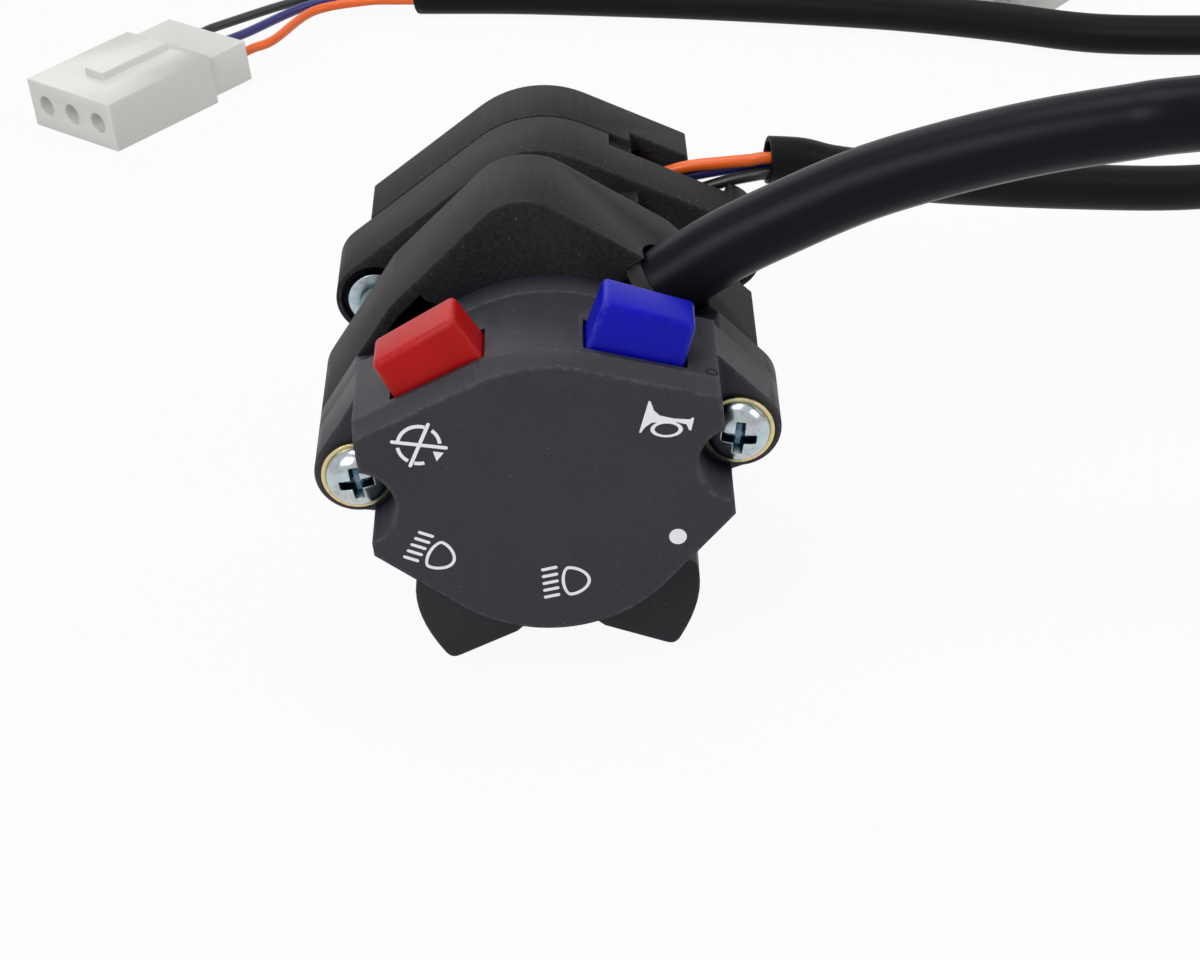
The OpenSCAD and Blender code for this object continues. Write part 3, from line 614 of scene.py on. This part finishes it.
def strand(name, line, radius, slot, wall=0.0, material=None):
    """A round lead along the line, or a tube where it has a wall."""
    curve = bpy.data.curves.new(name, "CURVE")
    curve.dimensions = "3D"
    curve.bevel_depth = radius * MM
    curve.bevel_resolution = 6
    curve.use_fill_caps = not wall
    curve.twist_mode = "Z_UP"
    spline = curve.splines.new("POLY")
    spline.points.add(len(line) - 1)
    for point, place in zip(spline.points, line):
        point.co = (*(place * MM), 1)
    spline.use_smooth = True
    obj = placed(name, curve)
    if wall:
        inside = obj.modifiers.new("wall", "SOLIDIFY")
        inside.thickness = wall * MM
        inside.offset = -1
    return dressed(obj, "base", slot, material)


def extruded(bm, faces):
    """Extrudes faces and gives the new corners, which are still in place."""
    made = bmesh.ops.extrude_face_region(bm, geom=faces)
    return [v for v in made["geom"] if isinstance(v, bmesh.types.BMVert)]


def closed(bm, points):
    """The corners and edges of a closed line in X and Z."""
    ring = [bm.verts.new((x, 0, z)) for x, z in points]
    return ring, [bm.edges.new(pair) for pair in zip(ring, ring[1:] + ring[:1])]


def thicken(bm, depth):
    """Gives flat print its thickness, forward off the face."""
    bmesh.ops.translate(bm, vec=(0, -depth, 0), verts=extruded(bm, bm.faces[:]))


def stroke(bm, a, b, width):
    """A straight printed line from a to b with round ends."""
    a, b = Vector((a[0], 0, a[1])), Vector((b[0], 0, b[1]))
    along = (b - a).normalized()
    ring = []
    for centre, start in ((b, -90), (a, 90)):
        for angle in range(start, start + 181, 45):
            turn = Matrix.Rotation(math.radians(-angle), 4, "Y")
            ring.append(bm.verts.new(centre + turn @ along * (width / 2)))
    bm.faces.new(ring)


def arc(bm, radius, start, end, width, squash=(1, 1), centre=(0, 0)):
    """A printed arc between two angles in degrees, counted from the right."""
    kept = set(bm.verts)
    tips = [bm.verts.new((radius + k * width / 2, 0, 0)) for k in (-1, 1)]
    edge = bm.edges.new(tips)
    bmesh.ops.rotate(bm, verts=tips, cent=(0, 0, 0),
                     matrix=Matrix.Rotation(math.radians(-start), 3, "Y"))
    bmesh.ops.spin(bm, geom=[*tips, edge], cent=(0, 0, 0), axis=(0, -1, 0), steps=ARC_STEPS,
                   angle=math.radians(end - start), use_merge=abs(end - start) >= 360)
    made = [v for v in bm.verts if v not in kept]
    bmesh.ops.scale(bm, vec=(squash[0], 1, squash[1]), verts=made)
    bmesh.ops.translate(bm, vec=(centre[0], 0, centre[1]), verts=made)


def outline(bm, outer, inner):
    """The printed band between two closed lines of points."""
    bmesh.ops.bridge_loops(bm, edges=closed(bm, outer)[1] + closed(bm, inner)[1])


def oval(half, inset):
    """A closed oval of the given half width and height, drawn in by the inset."""
    turns = [FULL_TURN * k / MARK_STEPS for k in range(MARK_STEPS)]
    return [((half[0] - inset) * math.cos(a), (half[1] - inset) * math.sin(a)) for a in turns]


def glass(inset):
    """The outline of a lamp, flat at the back and long at the front, drawn in by the inset."""
    points = []
    for k in range(GLASS_STEPS):
        a = FULL_TURN * k / GLASS_STEPS
        reach = GLASS_REACH[0] if math.cos(a) > 0 else GLASS_REACH[1]
        swell = 1 - GLASS_PINCH * math.sin(a) ** 2
        points.append((GLASS_X + (reach - inset) * math.cos(a) * swell,
                       (GLASS_HALF - inset) * math.sin(a)))
    return points


def patch(bm, corners):
    """A flat printed shape."""
    bm.faces.new([bm.verts.new((x, 0, z)) for x, z in corners])


def stacked(bm):
    """Lifts each separate shape a little past the last, so that no two share a plane."""
    seen = set()
    height = 0
    for start in list(bm.verts):
        if start in seen:
            continue
        seen.add(start)
        shape = [start]
        for vert in shape:
            for edge in vert.link_edges:
                other = edge.other_vert(vert)
                if other not in seen:
                    seen.add(other)
                    shape.append(other)
        bmesh.ops.translate(bm, vec=(0, -height, 0), verts=shape)
        height += PRINT_STEP


def draw_lamp(bm):
    """Beams and a lamp's outline, pointing right."""
    width = sizes().stroke / MM
    for k in range(BEAMS):
        z = (k - (BEAMS - 1) / 2) * BEAM_PITCH
        a, b = ((x, z + rise) for x, rise in BEAM)
        stroke(bm, a, b, width)
    outline(bm, glass(0), glass(width))


def draw_stop(bm):
    """A broken turning arrow that is crossed out."""
    width = sizes().stroke / MM
    for start, end in STOP_ARCS:
        arc(bm, STOP_R, start, end, width)
    patch(bm, STOP_POINT)
    for a, b in STOP_LINES:
        stroke(bm, a, b, width)


def draw_horn(bm):
    """A horn with its slanting bell to the left and a loop in its tube."""
    patch(bm, HORN)
    arc(bm, 1.0, 0, 360, HORN_LOOP_LINE, squash=HORN_LOOP_HALF, centre=HORN_LOOP_AT)


def draw_dot(bm):
    bmesh.ops.create_circle(bm, cap_ends=True, radius=DOT_R, segments=DOT_STEPS,
                            matrix=Matrix.Rotation(math.radians(90), 4, "X"))


# Each sign's drawing, place on the face, clockwise turn in degrees and scale.
SIGNS = {
    "sign_stop": (draw_stop, (-14.5, 7.9), 7, 1.0),
    "sign_horn": (draw_horn, (15.6, 7.5), 7, 1.0),
    "sign_high_beam": (draw_lamp, (-15.1, -7.4), 36, 0.88),
    "sign_low_beam": (draw_lamp, (0.6, -13.6), 3, 0.88),
    "sign_off": (draw_dot, (14.9, -9.1), 0, 1.0),
}


class PieceOperator:
    """What the operators share."""

    bl_options = {"REGISTER", "UNDO"}


class CLUSTER_OT_stage(PieceOperator, bpy.types.Operator):
    """Sets the table, the lights and the camera"""

    bl_idname = "cluster.stage"
    bl_label = "Stage"

    def execute(self, context):
        context.scene.view_settings.view_transform = "Standard"
        context.scene.camera = self.camera()
        context.scene.world = self.world()
        self.table()
        for name, (place, size, power) in PANELS.items():
            self.panel(name, place, size, power)
        return {"FINISHED"}

    def camera(self):
        data = bpy.data.cameras.new("photo_camera")
        data.sensor_width = SENSOR_WIDE
        data.lens = FOCAL_PIXELS / PHOTO_WIDE * SENSOR_WIDE
        data.clip_start = CLIP_START * MM
        camera = placed("photo_camera", data)
        back = -CAMERA_LOOK.normalized()
        up = back.cross(CAMERA_RIGHT.normalized()).normalized()
        turn = Matrix((up.cross(back), up, back)).transposed().to_4x4()
        camera.matrix_world = Matrix.Translation(CAMERA_AT * MM) @ turn
        return camera

    def world(self):
        """A white room that lights the part less than it shows."""
        world = bpy.data.worlds.new("white_room")
        graph = Graph(world, "ShaderNodeOutputWorld")
        strength = graph.node("ShaderNodeMapRange", {0: graph.seen(), 3: ROOM_DIFFUSE, 4: 1.0})
        graph.show(graph.node("ShaderNodeBackground", {"Strength": strength}))
        return world

    def table(self):
        bm = bmesh.new()
        bmesh.ops.create_grid(bm, x_segments=1, y_segments=1, size=TABLE_HALF * MM)
        bmesh.ops.translate(bm, vec=(0, 0, (FLOOR_Z - TABLE_GAP) * MM), verts=bm.verts)
        table = placed("table", mesh_from("table", bm))
        white = bpy.data.materials.new("white_table")
        graph = Graph(white, "ShaderNodeOutputMaterial")
        lit = graph.node("ShaderNodeBsdfDiffuse", {"Color": TABLE_COLOUR})
        glow = graph.node("ShaderNodeEmission", {"Color": (1, 1, 1, 1), "Strength": 1.0})
        graph.show(graph.node("ShaderNodeMixShader",
                              {0: graph.seen() * TABLE_WHITE, 1: lit, 2: glow}))
        set_finish(table, white)

    def panel(self, name, place, size, power):
        """A square light that faces the part."""
        data = bpy.data.lights.new(name, "AREA")
        data.shape = "SQUARE"
        data.size = size
        data.energy = power
        lamp = placed(name, data)
        lamp.location = place
        lamp.rotation_euler = (-Vector(place)).to_track_quat("-Z", "Y").to_euler()


class CLUSTER_OT_loom(PieceOperator, bpy.types.Operator):
    """Lays the main loom from the saddle block to its plug"""

    bl_idname = "cluster.loom"
    bl_label = "Main loom"

    def execute(self, context):
        line = route(LOOM_POINTS)
        skin = finish("loom_skin", sleeving, colours().loom)
        loom = strand("loom", line, LOOM_R, "sleeve_pvc", material=skin)
        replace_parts(loom, "main_loom")
        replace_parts(self.gland(), "loom_gland")
        plug = softened("loom_plug", "base", "nylon", sizes().plug_edge)
        line[0] * MM
        run_length(line) * MM
        return {"FINISHED"}

    def gland(self):
        """The rubber ring that the loom comes out of."""
        bm = bmesh.new()
        ring, edges = closed(bm, GLAND)
        bmesh.ops.spin(bm, geom=ring + edges, cent=(0, 0, 0), axis=UP, steps=GLAND_STEPS,
                       angle=FULL_TURN, use_merge=True)
        turn = LOOM_DIR.to_track_quat("Z", "Y").to_matrix().to_4x4()
        bmesh.ops.transform(bm, matrix=Matrix.Translation(LOOM_AT) @ turn, verts=bm.verts)
        return piece("gland_ring", bm, "base", "gland_rubber")


class CLUSTER_OT_signal_lead(PieceOperator, bpy.types.Operator):
    """Lays the signal leads, their sleeve and the wires of the plug"""

    bl_idname = "cluster.signal_lead"
    bl_label = "Signal lead"

    def execute(self, context):
        line = route(SLEEVE_POINTS)
        sleeve = strand("sleeve", line, SLEEVE_R, "sleeve_pvc", wall=SLEEVE_WALL)
        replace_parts(sleeve, "signal_sleeve")
        for colour, points in LEADS.items():
            aside = LEAD_SPREAD * (points[-1] - WIRE_END)
            inside = [Vector(p) + aside for p in SLEEVE_POINTS[1:3]]
            lead = strand(f"lead_{colour}", route([*points, *inside]), WIRE_R, f"wire_{colour}_pvc")
            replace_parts(lead, f"wire_{colour}")
        ends = [strand(f"plug_wire_{k}", route(points), WIRE_R, slot)
                for k, (points, slot) in enumerate(zip(self.ends(line), PLUG_WIRES))]
        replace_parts(ends[0], "plug_wires")
        plug = softened("signal_plug", "base", "nylon", sizes().plug_edge)
        run_length(line) * MM
        return {"FINISHED"}

    def ends(self, line):
        """Routes of the three wires from the sleeve to the plug, as in the solids."""
        along = (line[-1] - line[-2]).normalized()
        side = along.cross(UP)
        start = line[-1] + WIRE_GAP * along
        plug = PLUG_FRONT + PLUG_LONG * PLUG_BACK + PLUG_HIGH / 2 * UP
        for i in (-1, 0, 1):
            near, past = (start - i * spread * side for spread in PLUG_WIRE_SPREAD)
            end = plug + i * PLUG_PITCH * PLUG_BACK.cross(UP)
            first, second, last = (end + run * PLUG_BACK for run in PLUG_WIRE_IN)
            yield [near, near + PLUG_WIRE_OUT[0] * along, past + PLUG_WIRE_OUT[1] * along,
                   FAN_AT + i * FAN_STEP, first + FAN_SAG, second, last]


class CLUSTER_OT_housings(PieceOperator, bpy.types.Operator):
    """Rounds the edges of the moulded housings and the lever"""

    bl_idname = "cluster.housings"
    bl_label = "Moulded housings"

    def execute(self, context):
        width = sizes().edge
        block = finish("moulded_block", moulded, colours().block, 0.55, grain=0.5, depth=0.05,
                       glow=0.1, fleck=0.9)
        for node in ("front_cover", "front_base"):
            softened(node, "base", "body_plastic", width)
        for node in ("saddle_block", "signal_housing", "signal_cover"):
            softened(node, "base", "body_plastic", width, block)
        softened("light_lever", "lever", "lever_plastic", width)
        softened("signal_slider", "slider", "lever_plastic", width)
        return {"FINISHED"}


class CLUSTER_OT_buttons(PieceOperator, bpy.types.Operator):
    """Makes the two push buttons with rounded caps"""

    bl_idname = "cluster.buttons"
    bl_label = "Push buttons"

    def execute(self, context):
        for side, name, slot in ((-1, "stop", "red_plastic"), (1, "horn", "blue_plastic")):
            cap = piece(f"{name}_cap", self.cap(side), name, slot)
            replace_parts(cap, f"{name}_button")
        return {"FINISHED"}

    def cap(self, side):
        """A tapered cap with round edges and, below them, a flange with a lip."""
        low, high = BUTTON_Y
        base, seat = FLANGE_Z
        bm = bmesh.new()
        bmesh.ops.create_cube(bm, size=1.0)
        bmesh.ops.scale(bm, vec=(BUTTON_LONG, high - low, -seat), verts=bm.verts)
        bmesh.ops.translate(bm, vec=(0, (low + high) / 2, seat / 2), verts=bm.verts)
        top = [v for v in bm.verts if v.co.z > -LEVEL]
        bmesh.ops.scale(bm, vec=(BUTTON_TAPER, 1, 1), verts=top)
        under = [f for f in bm.faces if f.normal.z < -0.9]
        flange = extruded(bm, under)
        bmesh.ops.translate(bm, vec=(0, 0, base - seat), verts=flange)
        bmesh.ops.delete(bm, geom=under, context="FACES_ONLY")
        lip = [v for v in flange if v.co.x > 0]
        bmesh.ops.translate(bm, vec=(FLANGE_LIP, 0, 0), verts=lip)
        rim = [e for e in bm.edges if all(v.co.z > seat - LEVEL for v in e.verts)
               and not all(abs(v.co.z - seat) < LEVEL for v in e.verts)]
        bmesh.ops.bevel(bm, geom=rim, offset=sizes().button_edge / MM, segments=4, profile=0.5,
                        affect="EDGES", material=-1)
        turn = (Matrix.Translation((side * BUTTON_AT[0] + BUTTON_SHIFT, 0, BUTTON_AT[1]))
                @ Matrix.Rotation(math.radians(side * BUTTON_SLOPE), 4, "Y")
                @ Matrix.Diagonal((side, 1, 1, 1)))
        bmesh.ops.transform(bm, matrix=turn, verts=bm.verts)
        return bm


class CLUSTER_OT_screws(PieceOperator, bpy.types.Operator):
    """Makes the two clamp screws with domed heads and cross recesses"""

    bl_idname = "cluster.screws"
    bl_label = "Clamp screws"

    def execute(self, context):
        low, high = (Vector(corner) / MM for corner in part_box("clamp_screws"))
        seat = low.y + HEAD_HIGH
        blank, tool = bmesh.new(), bmesh.new()
        for side, turn in CROSS_TURN.items():
            place = Matrix.Translation((side * (high.x - HEAD_R), seat, 0))
            self.turned(blank, place, high.y - seat)
            self.cross(tool, place @ Matrix.Rotation(math.radians(turn), 4, "Y"))
        screws = piece("clamp_screw_pair", self.cut(context, blank, tool), "base", "zinc")
        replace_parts(screws, "clamp_screws")
        return {"FINISHED"}

    def turned(self, bm, place, long):
        """A pan head and its shank, turned about Y."""
        profile = [(0, -HEAD_HIGH), *DOME, (HEAD_R, 0), (SHANK_R, 0), (SHANK_R, long), (0, long)]
        kept = set(bm.verts)
        line = [bm.verts.new((r, y, 0)) for r, y in profile]
        edges = [bm.edges.new(pair) for pair in zip(line, line[1:])]
        bmesh.ops.spin(bm, geom=line + edges, cent=(0, 0, 0), axis=(0, 1, 0), steps=SCREW_STEPS,
                       angle=FULL_TURN, use_merge=True)
        bmesh.ops.remove_doubles(bm, verts=[v for v in bm.verts if v not in kept], dist=WELD)
        bmesh.ops.transform(bm, matrix=place, verts=[v for v in bm.verts if v not in kept])

    def cross(self, bm, place):
        """The tapered cross that is cut into a head."""
        a, b = CROSS
        ring = [(a, b), (b, b), (b, a), (-b, a), (-b, b), (-a, b), (-a, -b), (-b, -b), (-b, -a),
                (b, -a), (b, -b), (a, -b)]
        top = [bm.verts.new((x, -HEAD_HIGH - CROSS_CLEAR, z)) for x, z in ring]
        deep = extruded(bm, [bm.faces.new(top)])
        bmesh.ops.translate(bm, vec=(0, CROSS_DEEP + CROSS_CLEAR, 0), verts=deep)
        bmesh.ops.scale(bm, vec=(CROSS_TAPER, 1, CROSS_TAPER), verts=deep)
        bmesh.ops.transform(bm, matrix=place, verts=top + deep)

    def cut(self, context, blank, tool):
        """The blank with the tool taken out of it."""
        pair = []
        for name, bm in (("screw_blank", blank), ("screw_tool", tool)):
            bmesh.ops.recalc_face_normals(bm, faces=bm.faces)
            pair.append(placed(name, mesh_from(name, bm)))
        recess = pair[0].modifiers.new("recess", "BOOLEAN")
        recess.object = pair[1]
        recess.solver = "EXACT"
        solid = pair[0].evaluated_get(context.evaluated_depsgraph_get())
        bm = bmesh.new()
        bm.from_mesh(solid.to_mesh())
        for obj in pair:
            bpy.data.objects.remove(obj)
        return bm


class CLUSTER_OT_signs(PieceOperator, bpy.types.Operator):
    """Prints the signs on the face"""

    bl_idname = "cluster.signs"
    bl_label = "Printed signs"

    def execute(self, context):
        ink = finish("white_print", printed, colours().ink)
        for name, (draw, at, turn, size) in SIGNS.items():
            bm = bmesh.new()
            draw(bm)
            bmesh.ops.recalc_face_normals(bm, faces=bm.faces)
            stacked(bm)
            thicken(bm, sizes().ink / MM / size)
            place = (Matrix.Translation((at[0], FACE_Y, at[1]))
                     @ Matrix.Rotation(math.radians(turn), 4, "Y") @ Matrix.Scale(size, 4))
            bmesh.ops.transform(bm, matrix=place, verts=bm.verts)
            piece(name, bm, "base", "body_plastic", ink, smooth=False)
        return {"FINISHED"}


class CLUSTER_OT_marks(PieceOperator, bpy.types.Operator):
    """Adds the marks that the mould left on the housings, coloured dark as painted shade"""

    bl_idname = "cluster.marks"
    bl_label = "Mould marks"

    def execute(self, context):
        # The marks' dark colour is painted shade.
        dark = finish("mould_mark", moulded, shade(colours().body, 0.3), 0.6)
        for name, (at, facing, half) in MARKS.items():
            bm = bmesh.new()
            outline(bm, oval(half, 0), oval(half, MARK_LINE))
            bmesh.ops.recalc_face_normals(bm, faces=bm.faces)
            thicken(bm, MARK_HIGH)
            turn = Vector((0, -1, 0)).rotation_difference(Vector(facing)).to_matrix().to_4x4()
            bmesh.ops.transform(bm, matrix=Matrix.Translation(at) @ turn, verts=bm.verts)
            piece(name, bm, "base", "body_plastic", dark, smooth=False)
        return {"FINISHED"}


class CLUSTER_OT_finishes(PieceOperator, bpy.types.Operator):
    """Gives every solid its finish"""

    bl_idname = "cluster.finishes"
    bl_label = "Finishes"

    def execute(self, context):
        slots = {part["node"]: part["material_slot"] for part in frame["record"]["subparts"]}
        for node, obj in frame["nodes"].items():
            set_finish(obj, slot_finish(slots[node]))
        return {"FINISHED"}


class CLUSTER_PT_panel(bpy.types.Panel):
    """Lists the colours, the sizes and the pieces"""

    bl_idname = "CLUSTER_PT_panel"
    bl_label = "Switch Cluster"
    bl_space_type = "VIEW_3D"
    bl_region_type = "UI"
    bl_category = "Switch Cluster"

    def draw(self, context):
        for group in (context.scene.cluster_colours, context.scene.cluster_sizes):
            for key in group.__annotations__:
                self.layout.prop(group, key)
        for operator in OPERATORS:
            self.layout.operator(operator.bl_idname)


OPERATORS = (CLUSTER_OT_stage, CLUSTER_OT_loom, CLUSTER_OT_signal_lead, CLUSTER_OT_housings,
             CLUSTER_OT_buttons, CLUSTER_OT_screws, CLUSTER_OT_signs, CLUSTER_OT_marks,
             CLUSTER_OT_finishes)
CLASSES = (ClusterColours, ClusterSizes, *OPERATORS, CLUSTER_PT_panel)


def register():
    for made in CLASSES:
        bpy.utils.register_class(made)
    bpy.types.Scene.cluster_colours = bpy.props.PointerProperty(type=ClusterColours)
    bpy.types.Scene.cluster_sizes = bpy.props.PointerProperty(type=ClusterSizes)


def unregister():
    del bpy.types.Scene.cluster_sizes
    del bpy.types.Scene.cluster_colours
    for made in reversed(CLASSES):
        bpy.utils.unregister_class(made)


def main():
    register()
    bpy.ops.cluster.stage()
    bpy.ops.cluster.loom()
    bpy.ops.cluster.signal_lead()
    bpy.ops.cluster.housings()
    bpy.ops.cluster.buttons()
    bpy.ops.cluster.screws()
    bpy.ops.cluster.signs()
    bpy.ops.cluster.marks()
    bpy.ops.cluster.finishes()


if __name__ == "__main__":
    main()
